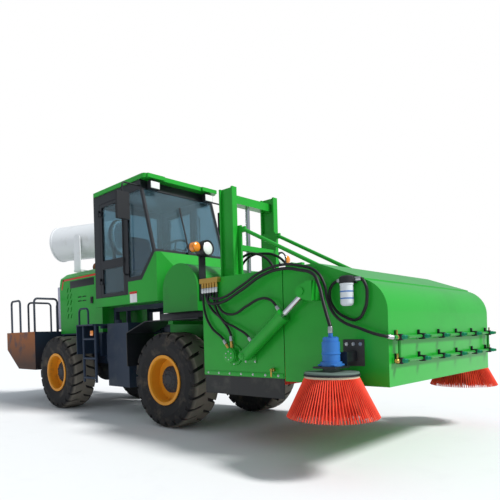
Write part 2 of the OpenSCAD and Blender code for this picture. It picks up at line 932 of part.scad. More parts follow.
// mast posts with top and bottom ties
module mast() {
    color("forestgreen") {
        both() {
            for (x = [mast_x0, mast_x1 - 20])
                block([x, post_in, 560], [x + 20, post_out, mast_z]);
            block([mast_x0, 350, 560], [mast_x1, 366, mast_z]);
        }
        block([480, -355, 2470], [600, 355, 2560]);
        block([mast_x0, -355, 560], [mast_x0 + 20, 355, 660]);
        block([mast_x0, -355, 1500], [mast_x0 + 20, 355, 1580]);
    }
}

module lift_rod() {
    color("silver")
        translate([lift_x, 0, 1075])
            cylinder(h = 2470 - 1075, r = rod_r);
}

// carriage between the posts, with the lift cylinder's barrel and the arms to the head
module carriage() {
    color("green") {
        both() {
            block([500, rail_in, 760], [carriage_x, rail_out, 2205]);
            block([carriage_x, rail_in - 30, 800], [hood_x0, rail_out, 920]);
            block([carriage_x, rail_in - 30, 1380], [hood_x0, rail_out, 1480]);
        }
        block([660, -rail_out, 1930], [carriage_x, rail_out, 1990]);
        block([660, -rail_out, 780], [carriage_x, rail_out, 920]);
        difference() {
            union() {
                translate([lift_x, 0, 790])
                    cylinder(h = 810, r = 45);
                block([lift_x, -30, 790], [680, 30, 900]);
            }
            translate([lift_x, 0, 810])
                cylinder(h = 900, r = rod_r + gap);
        }
    }
}

// stay rods from the carriage to the front of the hood
module tie_rods() {
    y = (rail_in + rail_out) / 2;
    color("green")
        both() {
            block([carriage_x, rail_in, stay_z - 30], [carriage_x + 60, rail_out, stay_z + 30]);
            bar([carriage_x + 35, y, stay_z], [1765, y, head_z + 42], 20);
            block([1725, rail_in - 10, head_z], [1790, rail_out + 10, head_z + 50]);
        }
}

// rear hood: open below and in front, with bearings, hinge ears and cylinder pins
module brush_hood() {
    color("limegreen") {
        difference() {
            block([hood_x0, -head_y, hood_z], [hood_x1, head_y, head_z]);
            block([hood_x0 + sheet, sheet - head_y, hood_z - 10],
                [hood_x1 + 10, head_y - sheet, head_z - sheet]);
        }
        both() {
            difference() {
                bar_y(roller_x, roller_z, roller_y + 5, head_y - 2, 60);
                bar_y(roller_x, roller_z, roller_y - 5, head_y - sheet, shaft_r + gap);
            }
            bar_y(roller_x, roller_z, head_y - 2, head_y + 80, motor_r);
            bar_y(tip_low[0], tip_low[1], head_y - 2, tip_y + 52, tip_pin);
            bar_y(tip_low[0], tip_low[1], head_y - 2, tip_y - tip_barrel_r - 5, 40);
        }
        for (y = hinge_ys) {
            for (s = [-1, 1])
                translate([0, y + 28 * s, 0]) {
                    bar_y(hinge_x, hinge_z, -6, 6, hinge_lug);
                    block([1745, -6, head_z - 2], [hinge_x - 5, 6, hinge_z + 10]);
                }
            bar_y(hinge_x, hinge_z, y - 34, y + 34, hinge_pin);
        }
    }
}

// rubber curtain under the hood
module rubber_skirt() {
    color("dimgray") {
        both()
            block([hood_x0 + sheet, head_y - sheet - 12, 470], [hood_x1 - 15, head_y - sheet, 720]);
        block([hood_x0 + sheet, sheet + 12 - head_y, 470],
            [hood_x0 + sheet + 12, head_y - sheet - 12, 720]);
    }
}

// roller brush: core, shaft and rings of bristles
module roller_brush() {
    rings = 30;
    ring_t = 14;
    core_r = 105;
    pitch = 2 * roller_y / rings;
    color("orangered") {
        bar_y(roller_x, roller_z, -head_y + sheet + 5, head_y - sheet - 5, shaft_r);
        bar_y(roller_x, roller_z, -roller_y, roller_y, core_r);
        for (i = [0 : rings - 1])
            bar_y(roller_x, roller_z, -roller_y + pitch * (i + 0.5) - ring_t / 2,
                -roller_y + pitch * (i + 0.5) + ring_t / 2, roller_r);
    }
}

// outline of the hopper in side view, drawn in by the wall w
module hopper_outline(w) {
    nose_r = 250;
    nose_z = 1149;
    nose_x = hopper_x - 168 - w / 3;
    polygon([
        [hood_x1 + seam - 3 * w, hopper_z + w], [hood_x1 + seam - 3 * w, head_z - w],
        [ridge_x, head_z - w], [nose_x, nose_z + 246 - w], [nose_x, nose_z],
        [hopper_x - w, nose_z], [hopper_x - w, hopper_z + w]
    ]);
    intersection() {
        translate([hopper_x - nose_r, nose_z])
            circle(r = nose_r - w);
        translate([nose_x, nose_z])
            square(nose_r);
    }
}

// tipping front hopper: open to the rear, with hinge lugs and cylinder brackets
module hopper() {
    color("limegreen") {
        difference() {
            across(-head_y, head_y)
                hopper_outline(0);
            across(sheet - head_y, head_y - sheet)
                hopper_outline(sheet);
            block([2370, -head_y - 10, 775], [2490, head_y + 10, 940]);
        }
        difference() {
            for (y = hinge_ys) {
                bar_y(hinge_x, hinge_z, y - 20, y + 20, hinge_lug);
                block([hinge_x + 5, y - 20, head_z - 2], [1900, y + 20, hinge_z + 12]);
            }
            bar_y(hinge_x, hinge_z, -head_y, head_y, hinge_pin + gap);
        }
        both() {
            block([2000, head_y - 2, 1255], [2170, head_y + 14, 1405]);
            across(tip_y + 52, tip_y + 64)
                polygon([
                    [tip_high[0] - 22, tip_high[1] + 42], [2130, 1405], [2170, 1405], [2170, 1255],
                    [2130, 1255], [tip_high[0] - 22, tip_high[1] - 42]
                ]);
            bar_y(tip_high[0], tip_high[1], tip_y + 52, tip_y + 64, 48);
            bar_y(tip_high[0], tip_high[1], tip_y + 52, tip_y + 74, 30);
            block([2150, head_y - 2, 1255], [2170, tip_y + 64, 1405]);
            across(head_y - 2, tip_y + 64)
                polygon([[2110, 1405], [2170, 1405], [2170, 1393], [2110, 1393]]);
        }
    }
}

// tip cylinder pieces are drawn along X from the lower pin, then turned to their rest slope
module at_tip() {
    both()
        translate([tip_low[0], tip_y, tip_low[1]])
            rotate([0, -tip_ang, 0])
                children();
}

module tip_barrels() {
    color("green")
        at_tip()
            difference() {
                union() {
                    bar_y(0, 0, -40, 40, 42);
                    bar_x(0, 0, 0, 520, tip_barrel_r);
                    bar_x(0, 0, 490, 535, tip_barrel_r + 6);
                }
                bar_y(0, 0, -80, 80, tip_pin + gap);
                bar_x(0, 0, 120, 600, tip_rod + gap);
            }
}

module tip_rods() {
    color("silver")
        at_tip() {
            bar_x(0, 0, 140, tip_len, tip_rod);
            bar_y(tip_len, 0, -38, 38, 40);
            bar_y(tip_len, 0, -46, 46, tip_pin);
        }
}

// two spray pipes with nozzles and end valves on the hopper's face
module spray_bars() {
    color("green") {
        for (z = bar_zs) {
            bar_y(bar_x, z, -1000, 1000, bar_r);
            for (y = [-930, -310, 310, 930])
                block([hopper_x, y - 12, z - 12], [bar_x, y + 12, z + 12]);
            for (i = [0 : 5])
                translate([bar_x, (i - 2.5) * nozzle_pitch, z]) {
                    block([-18, -16, -20], [22, 16, 20]);
                    bar_x(0, 0, 20, 68, 11);
                }
        }
        for (y = [-960, 960])
            translate([bar_x, y, bar_zs[0]])
                cylinder(h = bar_zs[1] - bar_zs[0], r = 11);
        bar_y(bar_x, bar_zs[1], -bar_stub, -1000, bar_r + 3);
    }
}

// arms from inside the hopper that carry the side brush motors
module brush_arms() {
    color("dimgray")
        both() {
            block([2400, 900, 800], [hopper_x - sheet, 960, 870]);
            block([2400, 900, 800], [2460, 1208, 870]);
            difference() {
                block([2290, 1195, 760], [2470, 1380, 775]);
                translate([brush_x, brush_y, 700])
                    cylinder(h = 100, r = brush_shaft + 6);
            }
            block([2400, 1195, 770], [2460, 1210, 870]);
        }
}

module brush_motors() {
    color("dodgerblue")
        both()
            translate([brush_x, brush_y, 775]) {
                cylinder(h = 30, r = 75);
                cylinder(h = 170, r = 62);
                translate([0, 0, 170])
                    cylinder(h = 30, r = 55);
                cylinder(h = motor_top - 775, r = 16);
                translate([0, 0, -65])
                    cylinder(h = 70, r = brush_shaft);
            }
}

// water filter on the near side of the hopper
module water_filter() {
    color("lightgray") {
        block([filter_x0, -head_y - 60, 1360], [filter_x1, -head_y, 1410]);
        translate([2420, -head_y - 62, 1200])
            cylinder(h = 180, r = 46);
    }
}

// points of a smooth line through the route, n to a leg
function smooth(p, n) = concat(
    [for (i = [0 : len(p) - 2], k = [0 : n - 1]) spot(p, i, k / n)], [p[len(p) - 1]]
);

function spot(p, i, t) =
    let (a = p[max(i - 1, 0)], b = p[i], c = p[i + 1], d = p[min(i + 2, len(p) - 1)])
    b + (c - a) * t / 2 + (2 * a - 5 * b + 4 * c - d) * t * t / 2
    + (3 * b - a - 3 * c + d) * t * t * t / 2;

// rubber hose swept along a route that never runs straight across the machine
module hose(route, r) {
    sides = 8;
    line = smooth(route, 4);
    last = len(line) - 1;
    rings = [for (i = [0 : last])
        let (
            t = i == 0 ? unit(route[1] - route[0])
                : i == last ? unit(route[len(route) - 1] - route[len(route) - 2])
                : unit(line[i + 1] - line[i - 1]),
            u = unit(cross(t, [0, 1, 0])),
            v = cross(t, u)
        )
        for (k = [0 : sides - 1])
            line[i] + r * (cos(360 * k / sides) * u + sin(360 * k / sides) * v)];
    polyhedron(points = rings, faces = concat(
        [[for (k = [0 : sides - 1]) k]],
        [for (i = [0 : last - 1], k = [0 : sides - 1])
            let (a = i * sides + k, b = i * sides + (k + 1) % sides) [a, a + sides, b + sides]],
        [for (i = [0 : last - 1], k = [0 : sides - 1])
            let (a = i * sides + k, b = i * sides + (k + 1) % sides) [a, b + sides, b]],
        [[for (k = [0 : sides - 1]) last * sides + sides - 1 - k]]
    ));
}

// port blocks on the hood's sides with their nipples, and the roller motor's elbows
module hose_fittings() {
    color("goldenrod") {
        both() {
            block([port_x - 30, head_y, 1505], [port_x + 5 * port_pitch + 30, head_y + 44, head_z]);
            for (i = [0 : 5])
                translate([port_x + i * port_pitch, port_y, port_z])
                    cylinder(h = 50, r = 14);
        }
        mirror([0, 1, 0])
            for (turn = elbow_turns)
                bar(elbow(turn, motor_r + gap), elbow(turn, elbow_end), 14);
    }
}

module head_hoses() {
    color("dimgray") {
        for (route = motor_routes)
            mirror([0, 1, 0])
                hose(route, hose_r);
        both()
            for (route = port_routes)
                hose(route, hose_r);
    }
}

module hopper_hoses() {
    color("dimgray") {
        both()
            hose(brush_route, hose_r + 2);
        mirror([0, 1, 0]) {
            hose(water_route, hose_r);
            hose(filter_route, hose_r);
        }
    }
}

module lift_hoses() {
    color("dimgray")
        for (route = lift_routes)
            hose(route, hose_r + 2);
}

// side brush: boss, disc and a cone of bristles in bundles
module side_brush(side) {
    bundles = 18;
    color("orangered")
        translate([brush_x, side * brush_y, 0]) {
            difference() {
                union() {
                    translate([0, 0, 700])
                        cylinder(h = 35, r = 193);
                    translate([0, 0, 730])
                        cylinder(h = 26, r = 60);
                }
                translate([0, 0, 690])
                    cylinder(h = 100, r = brush_shaft + 0.05);
            }
            difference() {
                rotate_extrude()
                    polygon([
                        [120, 705], [185, 705], [brush_r, brush_z], [brush_r - 75, brush_z]
                    ]);
                for (i = [0 : bundles - 1])
                    rotate([0, 0, i * 360 / bundles])
                        translate([100, -5, brush_z - 10])
                            cube([300, 10, 240]);
            }
        }
}

module side_brush_left() {
    side_brush(1);
}

module side_brush_right() {
    side_brush(-1);
}

module tyre_front_left() {
    color("black")
        at_wheel(0, 1)
            tyre_shape();
}

module tyre_front_right() {
    color("black")
        at_wheel(0, -1)
            tyre_shape();
}

module tyre_rear_left() {
    color("black")
        at_wheel(rear_x, 1)
            tyre_shape();
}

module tyre_rear_right() {
    color("black")
        at_wheel(rear_x, -1)
            tyre_shape();
}

module rim_front_left() {
    color("orange")
        at_wheel(0, 1)
            rim_shape();
}

module rim_front_right() {
    color("orange")
        at_wheel(0, -1)
            rim_shape();
}

module rim_rear_left() {
    color("orange")
        at_wheel(rear_x, 1)
            rim_shape();
}

module rim_rear_right() {
    color("orange")
        at_wheel(rear_x, -1)
            rim_shape();
}

// the frame's origin is under the middle of the whole object
module place() {
    translate([-mid_x, 0, 0])
        children();
}

place() rear_frame();
place() rear_axle();
place() engine_block();
place() bonnet();
place() rear_grille();
place() exhaust();
place() ballast_box();
place() guard_rails();
place() cab_tub();
place() cab_frame();
place() cab_glass();
place() cab_roof();
place() cab_seat();
place() steering();
place() cab_fittings();
place() door_left();
place() door_right();
place() door_glass_left();
place() door_glass_right();
place() side_tanks();
place() side_steps();
place() cannon_base();
place() cannon_yoke();
place() cannon_drum();
place() front_frame();
place() front_axle();
place() front_mudguards();
place() oil_tank();
place() head_lamps();
place() mast();
place() lift_rod();
place() carriage();
place() tie_rods();
place() brush_hood();
place() rubber_skirt();
place() roller_brush();
place() hopper();
place() tip_barrels();
place() tip_rods();
place() spray_bars();
place() brush_arms();
place() brush_motors();
place() water_filter();
place() side_brush_left();
place() side_brush_right();
place() hose_fittings();
place() head_hoses();
place() hopper_hoses();
place() lift_hoses();
place() tyre_front_left();
place() tyre_front_right();
place() tyre_rear_left();
place() tyre_rear_right();
place() rim_front_left();
place() rim_front_right();
place() rim_rear_left();
place() rim_rear_right();
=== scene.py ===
import math

import bpy
from mathutils import Matrix, Vector


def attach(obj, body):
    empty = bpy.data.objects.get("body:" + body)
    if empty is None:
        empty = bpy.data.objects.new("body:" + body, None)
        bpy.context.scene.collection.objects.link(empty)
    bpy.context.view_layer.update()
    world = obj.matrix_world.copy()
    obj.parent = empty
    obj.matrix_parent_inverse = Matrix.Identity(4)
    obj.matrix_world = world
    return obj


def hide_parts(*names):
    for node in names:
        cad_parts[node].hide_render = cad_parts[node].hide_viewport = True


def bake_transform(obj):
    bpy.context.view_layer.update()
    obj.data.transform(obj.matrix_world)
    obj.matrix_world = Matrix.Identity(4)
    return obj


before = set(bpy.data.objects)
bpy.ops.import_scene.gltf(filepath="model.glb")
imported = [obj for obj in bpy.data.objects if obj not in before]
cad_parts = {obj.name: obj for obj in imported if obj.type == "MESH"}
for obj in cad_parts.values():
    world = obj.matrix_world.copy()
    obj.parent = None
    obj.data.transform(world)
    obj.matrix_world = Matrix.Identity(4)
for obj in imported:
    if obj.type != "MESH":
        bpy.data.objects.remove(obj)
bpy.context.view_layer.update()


# Rear frame and axles
# Welded plate beams with the articulation fork, sprayed dark slate, and the cast axles under
# them. Road dust lies on the lower plates. The engine is a plain cast block inside the bonnet.
def srgb(r, g, b):
    return tuple(c / 3294.6 if c <= 10 else ((c / 255 + 0.055) / 1.055) ** 2.4 for c in (r, g, b)) + (1,)


def finish(name, tone, rough, metal=0.0, spots=None, cover=(0.55, 0.8), scale=3.0, bump=0.0,
           coat=0.0, grain=None):
    mat = bpy.data.materials.new(name)
    mat.use_nodes = True
    nodes, links = mat.node_tree.nodes, mat.node_tree.links
    shader = nodes["Principled BSDF"]
    shader.inputs["Roughness"].default_value = rough
    shader.inputs["Metallic"].default_value = metal
    shader.inputs["Specular IOR Level"].default_value = 0.3
    shader.inputs["Coat Weight"].default_value = coat
    shader.inputs["Coat Roughness"].default_value = 0.08
    coords = nodes.new("ShaderNodeTexCoord")
    noise = nodes.new("ShaderNodeTexNoise")
    noise.inputs["Scale"].default_value = scale
    noise.inputs["Detail"].default_value = 8
    noise.inputs["Roughness"].default_value = 0.62
    links.new(coords.outputs["Object"], noise.inputs["Vector"])
    if grain:
        stretch = nodes.new("ShaderNodeMapping")
        stretch.inputs["Scale"].default_value = grain
        links.new(coords.outputs["Object"], stretch.inputs["Vector"])
        links.new(stretch.outputs["Vector"], noise.inputs["Vector"])
    ramp = nodes.new("ShaderNodeValToRGB")
    ramp.color_ramp.elements[0].position = cover[0]
    ramp.color_ramp.elements[0].color = srgb(*tone)
    ramp.color_ramp.elements[1].position = cover[1]
    ramp.color_ramp.elements[1].color = srgb(*(spots or [c * 0.88 for c in tone]))
    links.new(noise.outputs["Fac"], ramp.inputs["Fac"])
    links.new(ramp.outputs["Color"], shader.inputs["Base Color"])
    if bump:
        lumps = nodes.new("ShaderNodeBump")
        lumps.inputs["Strength"].default_value = bump
        lumps.inputs["Distance"].default_value = 0.004
        links.new(noise.outputs["Fac"], lumps.inputs["Height"])
        links.new(lumps.outputs["Normal"], shader.inputs["Normal"])
    return mat


def dress(mat, *names):
    for name in names:
        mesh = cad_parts[name].data
        mesh.materials.clear()
        mesh.materials.append(mat)


slate = finish("slate_paint", (36, 50, 70), 0.45, spots=(70, 76, 82), cover=(0.55, 0.85))
cast = finish("cast_iron", (58, 60, 64), 0.65, spots=(96, 90, 80), bump=0.3, scale=9)
dress(slate, "rear_frame", "side_tanks", "side_steps")
dress(cast, "rear_axle", "front_axle", "engine_block")

# Bonnet and rear grille
# Pressed steel cover in the bright green, with louvre slots, and the pale lilac slotted
# radiator guard behind it. The stripe and the blank panel are thin stuck-on film. Black plates inside the
# bonnet wall show through the louvre and vent slots as painted shade.
green = finish("green_paint", (32, 162, 46), 0.34, spots=(28, 146, 40), cover=(0.45, 0.75), scale=1.6,
               coat=0.15)
dress(green, "bonnet", "cab_tub", "cab_roof")
lilac = finish("lilac_paint", (186, 184, 202), 0.5, spots=(140, 136, 148))
dress(lilac, "rear_grille")


# places are in millimetres from the ground under the front axle
front_axle_x = 828.5


def at(x, y, z):
    return Vector(((x + front_axle_x) / 1000, y / 1000, z / 1000))


def pick(piece):
    bpy.ops.object.select_all(action="DESELECT")
    piece.select_set(True)
    bpy.context.view_layer.objects.active = piece


def box(lo, hi, soften=0.002):
    bpy.ops.object.select_all(action="DESELECT")
    a, b = at(*lo), at(*hi)
    bpy.ops.mesh.primitive_cube_add(size=1, location=(a + b) / 2)
    piece = bpy.context.object
    piece.scale = [abs(c) for c in b - a]
    bpy.ops.object.transform_apply(location=True, rotation=True, scale=True)
    edge = piece.modifiers.new("soften", "BEVEL")
    edge.width = soften
    edge.segments = 2
    bpy.ops.object.modifier_apply(modifier=edge.name)
    return piece


def join(pieces):
    bpy.ops.object.select_all(action="DESELECT")
    for piece in pieces:
        piece.select_set(True)
    bpy.context.view_layer.objects.active = pieces[0]
    bpy.ops.object.join()
    return bpy.context.object


def copy(piece, offset=(0, 0, 0), flip=False):
    pick(piece)
    bpy.ops.object.duplicate()
    twin = bpy.context.object
    twin.location = offset
    twin.scale.y = -1 if flip else 1
    bpy.ops.object.transform_apply(location=True, rotation=True, scale=True)
    if flip:
        bpy.ops.object.mode_set(mode="EDIT")
        bpy.ops.mesh.select_all(action="SELECT")
        bpy.ops.mesh.normals_make_consistent(inside=False)
        bpy.ops.object.mode_set(mode="OBJECT")
    return twin


def both(*pieces):
    return join(list(pieces) + [copy(piece, flip=True) for piece in pieces])


def settle(piece, name, body, mat, smooth=35):
    pick(piece)
    bpy.ops.object.shade_smooth_by_angle(angle=math.radians(smooth))
    piece.name = piece.data.name = name
    piece.data.materials.clear()
    piece.data.materials.append(mat)
    if body:
        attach(piece, body)
    return piece


side_cover = box((-3240, 380.5, 1180), (-3151, 456, 1870), 0.008)
settle(both(side_cover), "grille_sides", "rear", lilac)
red_film = finish("red_film", (206, 48, 40), 0.4)
black_film = finish("black_film", (30, 31, 34), 0.45)
film_in, film_out, film_edge = 459, 462, 0.0008
stripe_top, leg_slant = 1.975, 0.35
leg = box((-3045, film_in, 1815), (-3010, film_out, 1975), film_edge)
for corner in leg.data.vertices:
    corner.co.x -= (stripe_top - corner.co.z) * leg_slant
stripe = box((-3044, film_in, 1946), (-1990, film_out, 1976), film_edge)
settle(both(stripe, leg), "bonnet_stripe", "rear", red_film)
panel = box((-2815, film_in, 1815), (-2095, film_out, 1928), film_edge)
settle(both(panel), "bonnet_panel", "rear", black_film)
# black plates inside the bonnet wall, seen through the louvre and vent slots: painted shade in the slots
shade_plate_in, shade_plate_out, shade_plate_edge = 444, 448, 0.001
louvre_shade_plate = box((-2955, shade_plate_in, 1320), (-2740, shade_plate_out, 1860), shade_plate_edge)
vent_shade_plate = box((-2595, shade_plate_in, 1580), (-2315, shade_plate_out, 1682), shade_plate_edge)
settle(both(louvre_shade_plate, vent_shade_plate), "louvre_painted_shade", "rear", black_film)
latch = box((-2200, film_in, 1540), (-2130, 474, 1640), 0.006)
handle = box((-2180, 472, 1560), (-2150, 480, 1620), 0.004)
settle(both(latch, handle), "bonnet_latch", "rear", black_film)

# Exhaust
# Rolled silencer drum with a bent tail pipe, welded to two feet on top of the bonnet.
# It is bare steel that has rusted all over.
rust = finish("rust", (140, 88, 50), 0.85, spots=(92, 58, 40), cover=(0.35, 0.7), scale=14, bump=0.5)
dress(rust, "exhaust")

# Ballast box and guard hoops
# Welded tank of heavy plate in slate paint. The paint on its side faces has gone to rust in
# patches, and the whole box is darker towards the bottom; the hoops are bent tube in dark paint.
scabs = finish("ballast_paint", (58, 62, 76), 0.6, spots=(152, 88, 40), cover=(0.36, 0.5), scale=2.4,
               bump=0.4)
box_low, box_high, low_darkening_most = 0.62, 1.08, 0.85
tree = scabs.node_tree
facing = tree.nodes.new("ShaderNodeTexCoord")
split = tree.nodes.new("ShaderNodeSeparateXYZ")
tree.links.new(facing.outputs["Normal"], split.inputs["Vector"])
sideways = tree.nodes.new("ShaderNodeMath")
sideways.operation = "ABSOLUTE"
tree.links.new(split.outputs["Y"], sideways.inputs[0])
plain = tree.nodes.new("ShaderNodeMix")
plain.data_type = "RGBA"
plain.inputs["A"].default_value = srgb(40, 52, 72)
tree.links.new(sideways.outputs[0], plain.inputs["Factor"])
tree.links.new(tree.nodes["Color Ramp"].outputs["Color"], plain.inputs["B"])
height = tree.nodes.new("ShaderNodeSeparateXYZ")
tree.links.new(facing.outputs["Object"], height.inputs["Vector"])
fade = tree.nodes.new("ShaderNodeMapRange")
fade.inputs["From Min"].default_value = box_low
fade.inputs["From Max"].default_value = box_high
fade.inputs["To Min"].default_value = low_darkening_most
fade.inputs["To Max"].default_value = 0.0
tree.links.new(height.outputs["Z"], fade.inputs["Value"])
# mixes every face towards dark brown lower down the box, so it is darker towards the bottom
low_darkening = tree.nodes.new("ShaderNodeMix")
low_darkening.data_type = "RGBA"
low_darkening.inputs["B"].default_value = srgb(44, 36, 34)
tree.links.new(fade.outputs["Result"], low_darkening.inputs["Factor"])
tree.links.new(plain.outputs["Result"], low_darkening.inputs["A"])
tree.links.new(low_darkening.outputs["Result"], tree.nodes["Principled BSDF"].inputs["Base Color"])
dress(scabs, "ballast_box")
dress(finish("hoop_paint", (56, 62, 74), 0.5, spots=(84, 82, 78)), "guard_rails")

# Cab shell
# Green sheet tub and roof round a black-painted tube frame, two slab doors with panes, and
# tinted safety glass set in rubber. A blank notice plate is riveted to the sill.
black = finish("black_paint", (30, 32, 37), 0.38, spots=(46, 47, 50), coat=0.2)
dress(black, "cab_frame", "door_left", "door_right")
glass = bpy.data.materials.new("tinted_glass")
glass.use_nodes = True
pane = glass.node_tree.nodes["Principled BSDF"]
pane.inputs["Base Color"].default_value = srgb(166, 200, 212)
pane.inputs["Roughness"].default_value = 0.02
pane.inputs["Transmission Weight"].default_value = 0.9
pane.inputs["IOR"].default_value = 1.45
dress(glass, "cab_glass", "door_glass_left", "door_glass_right")
white_film = finish("white_film", (232, 232, 234), 0.4)
notice = box((-965, -623, 1462), (-815, -619, 1600), 0.001)
settle(notice, "sill_plate", "rear", white_film)
notice_top = box((-967, -625, 1572), (-813, -619, 1602), 0.001)
settle(notice_top, "sill_plate_top", "rear", red_film)

# Cab inside and fittings
# Foam seat in dark blue cloth on a pedestal, the steering column, and the black plastic mirrors,
# rails and lamps that are screwed to the outside of the frame.
plastic = finish("black_plastic", (34, 35, 38), 0.5, bump=0.1, scale=40)
dress(plastic, "steering", "cab_fittings")
cloth = finish("seat_cloth", (34, 44, 84), 0.9, spots=(48, 58, 98), scale=90, bump=0.3)


def cushion(lo, hi, lean, name):
    pad = box(lo, hi, 0.045)
    bpy.ops.object.mode_set(mode="EDIT")
    bpy.ops.mesh.select_all(action="SELECT")
    bpy.ops.mesh.subdivide(number_cuts=3, smoothness=0.6)
    bpy.ops.object.mode_set(mode="OBJECT")
    pivot = at(lo[0], 0, lo[2])
    tilt = Matrix.Rotation(math.radians(lean), 4, "Y")
    pad.data.transform(Matrix.Translation(pivot) @ tilt @ Matrix.Translation(-pivot))
    settle(pad, name, "rear", cloth, 60)
    return pad


base = box((-1560, -130, 1482), (-1260, 130, 1838), 0.01)
settle(base, "seat_base", "rear", plastic)
squab = cushion((-1630, -248, 1840), (-1155, 248, 1945), 0, "seat_squab")
back = cushion((-1622, -236, 1952), (-1515, 236, 2480), -10, "seat_back")
for piece in (base, squab, back):
    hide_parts("cab_seat")


def turned(profile, centre, axis, steps=40):
    axis = Vector(axis).normalized()
    out = axis.orthogonal().normalized()
    spots = [Vector(centre) + axis * d + out * r for r, d in profile]
    bpy.ops.object.select_all(action="DESELECT")
    bpy.ops.mesh.primitive_plane_add(size=0.01, location=spots[0])
    piece = bpy.context.object
    bpy.ops.object.mode_set(mode="EDIT")
    bpy.ops.mesh.select_all(action="SELECT")
    bpy.ops.mesh.merge(type="CENTER")
    for here, there in zip(spots, spots[1:]):
        bpy.ops.mesh.extrude_region_move(TRANSFORM_OT_translate={"value": there - here})
    bpy.ops.mesh.select_all(action="SELECT")
    bpy.ops.mesh.spin(steps=steps, angle=2 * math.pi, center=centre, axis=axis)
    bpy.ops.mesh.select_all(action="SELECT")
    bpy.ops.mesh.remove_doubles(threshold=0.0002)
    bpy.ops.mesh.normals_make_consistent(inside=False)
    bpy.ops.object.mode_set(mode="OBJECT")
    bpy.ops.object.transform_apply(location=True, rotation=True, scale=True)
    return piece


mirror_glass = finish("mirror_silver", (196, 204, 210), 0.04, metal=1.0)
mirror = box((-729, 798, 2470), (-724, 962, 2780), 0.002)
settle(both(mirror), "mirror_glass", "rear", mirror_glass)
lens_white = finish("lamp_lens", (238, 240, 236), 0.12, coat=1.0)
lens_amber = finish("amber_lens", (244, 140, 24), 0.15, coat=1.0)
roof_lens = box((-574, 402, 2873), (-566, 538, 2957), 0.003)
settle(both(roof_lens), "roof_lamp_lenses", "rear", lens_white)

# Side tanks and steps
# Folded plate tanks and welded step groups in slate paint, bolted to the sides of the rear frame.
# An amber reflector is screwed to each ladder.
reflector = box((-1600, 838, 1055), (-1530, 844, 1120), 0.002)
settle(both(reflector), "step_reflectors", "rear", lens_amber)

# Mist cannon
# White sprayed sheet drum that tilts in a welded fork, with a cast fan in its back end.
# A dark spray ring with brass jets is clipped into the mouth.
white = finish("white_paint", (226, 228, 230), 0.4, spots=(196, 196, 190), cover=(0.55, 0.85), coat=0.2)
dress(white, "cannon_base", "cannon_yoke", "cannon_drum")
brass = finish("brass", (196, 158, 84), 0.35, metal=1.0, spots=(150, 116, 66))
rest_turn = math.radians(23)
aim = Vector((math.cos(rest_turn), math.sin(rest_turn), 0))
drum = at(-2980, 0, 2640)


def ring(piece, count, centre, axis):
    bpy.ops.object.select_all(action="DESELECT")
    bpy.ops.object.empty_add()
    hub = bpy.context.object
    shift = Matrix.Translation(centre)
    hub.matrix_world = shift @ Matrix.Rotation(2 * math.pi / count, 4, Vector(axis)) @ shift.inverted()
    bpy.context.view_layer.update()
    pick(piece)
    spread = piece.modifiers.new("ring", "ARRAY")
    spread.count = count
    spread.use_relative_offset = False
    spread.use_object_offset = True
    spread.offset_object = hub
    bpy.ops.object.modifier_apply(modifier=spread.name)
    bpy.data.objects.remove(hub)
    return piece


hoop_rim = [(0.268, 0.585), (0.286, 0.59), (0.286, 0.625), (0.268, 0.63), (0.266, 0.607), (0.268, 0.585)]
hoop = turned(hoop_rim, drum, aim, 64)
settle(hoop, "cannon_spray_ring", "cannon_barrel", black_film)
jet_tip = [(0, 0.632), (0.009, 0.632), (0.009, 0.65), (0.005, 0.658), (0, 0.658)]
jet_circle, jet_count = Vector((0, 0, 0.277)), 24
jet = turned(jet_tip, drum + jet_circle, aim, 10)
settle(ring(jet, jet_count, drum, aim), "cannon_jets", "cannon_barrel", brass)
blade_count, blade_mid, blade_twist = 9, 0.17, 0.5
blade = box((-3312, 85, 2633), (-3296, 266, 2647), 0.003)
for corner in blade.data.vertices:
    corner.co.z += (corner.co.y - blade_mid) * blade_twist
aimed = Matrix.Rotation(rest_turn, 4, "Z")
blade.data.transform(Matrix.Translation(drum) @ aimed @ Matrix.Translation(-drum))
settle(ring(blade, blade_count, drum, aim), "cannon_fan", "cannon_barrel", cast)

# Front frame, tank and lamps
# Welded front frame and round-topped oil tank in the darker green, black angular mudguards, and
# the round head lamps with amber indicators on brackets. Two black plates bear the tank; their black is also
# painted shade for the dark gap under the tank.
dark_green = finish("green_frame_paint", (28, 140, 42), 0.4, spots=(40, 118, 48), coat=0.2)
dress(dark_green, "front_frame", "oil_tank")
dress(black, "front_mudguards", "head_lamps")
# black plate under the tank: partly a real bearer, partly painted shade for the dark gap there
tank_bearer_shade_plate = box((-310, 640, 1206), (440, 646, 1284.5), 0.001)
settle(both(tank_bearer_shade_plate), "tank_bearers_painted_shade", "front", black)
bowl = [(0, 0.012), (0.035, 0.01), (0.06, 0.003), (0.072, -0.004), (0.072, -0.02), (0, -0.02)]
rim = [(0.07, 0.0), (0.084, 0.004), (0.09, -0.004), (0.09, -0.05), (0.07, -0.05), (0.07, 0.0)]
forward = (1, 0, 0)
lamp = turned(bowl, at(521, 645, 1945), forward)
settle(both(lamp), "head_lamp_lenses", "front", lens_white)
lamp_rim = turned(rim, at(523, 645, 1945), forward)
settle(both(lamp_rim), "head_lamp_rims", "front", black_film)
blink = [(0, 0.02), (0.03, 0.016), (0.05, 0.002), (0.053, -0.01), (0.053, -0.06), (0, -0.06)]
indicator = turned(blink, at(501, 790, 1950), forward)
settle(both(indicator), "indicators", "front", lens_amber)

# Mast, carriage and stays
# Channel posts, carriage, stays and cylinder barrels, welded up and sprayed in the bright green.
# The lift rod and the tip rods are ground and chromed.
dress(green, "mast", "carriage", "tie_rods", "tip_barrels")
chrome = finish("chrome", (205, 208, 212), 0.15, metal=1.0)
dress(chrome, "lift_rod", "tip_rods")

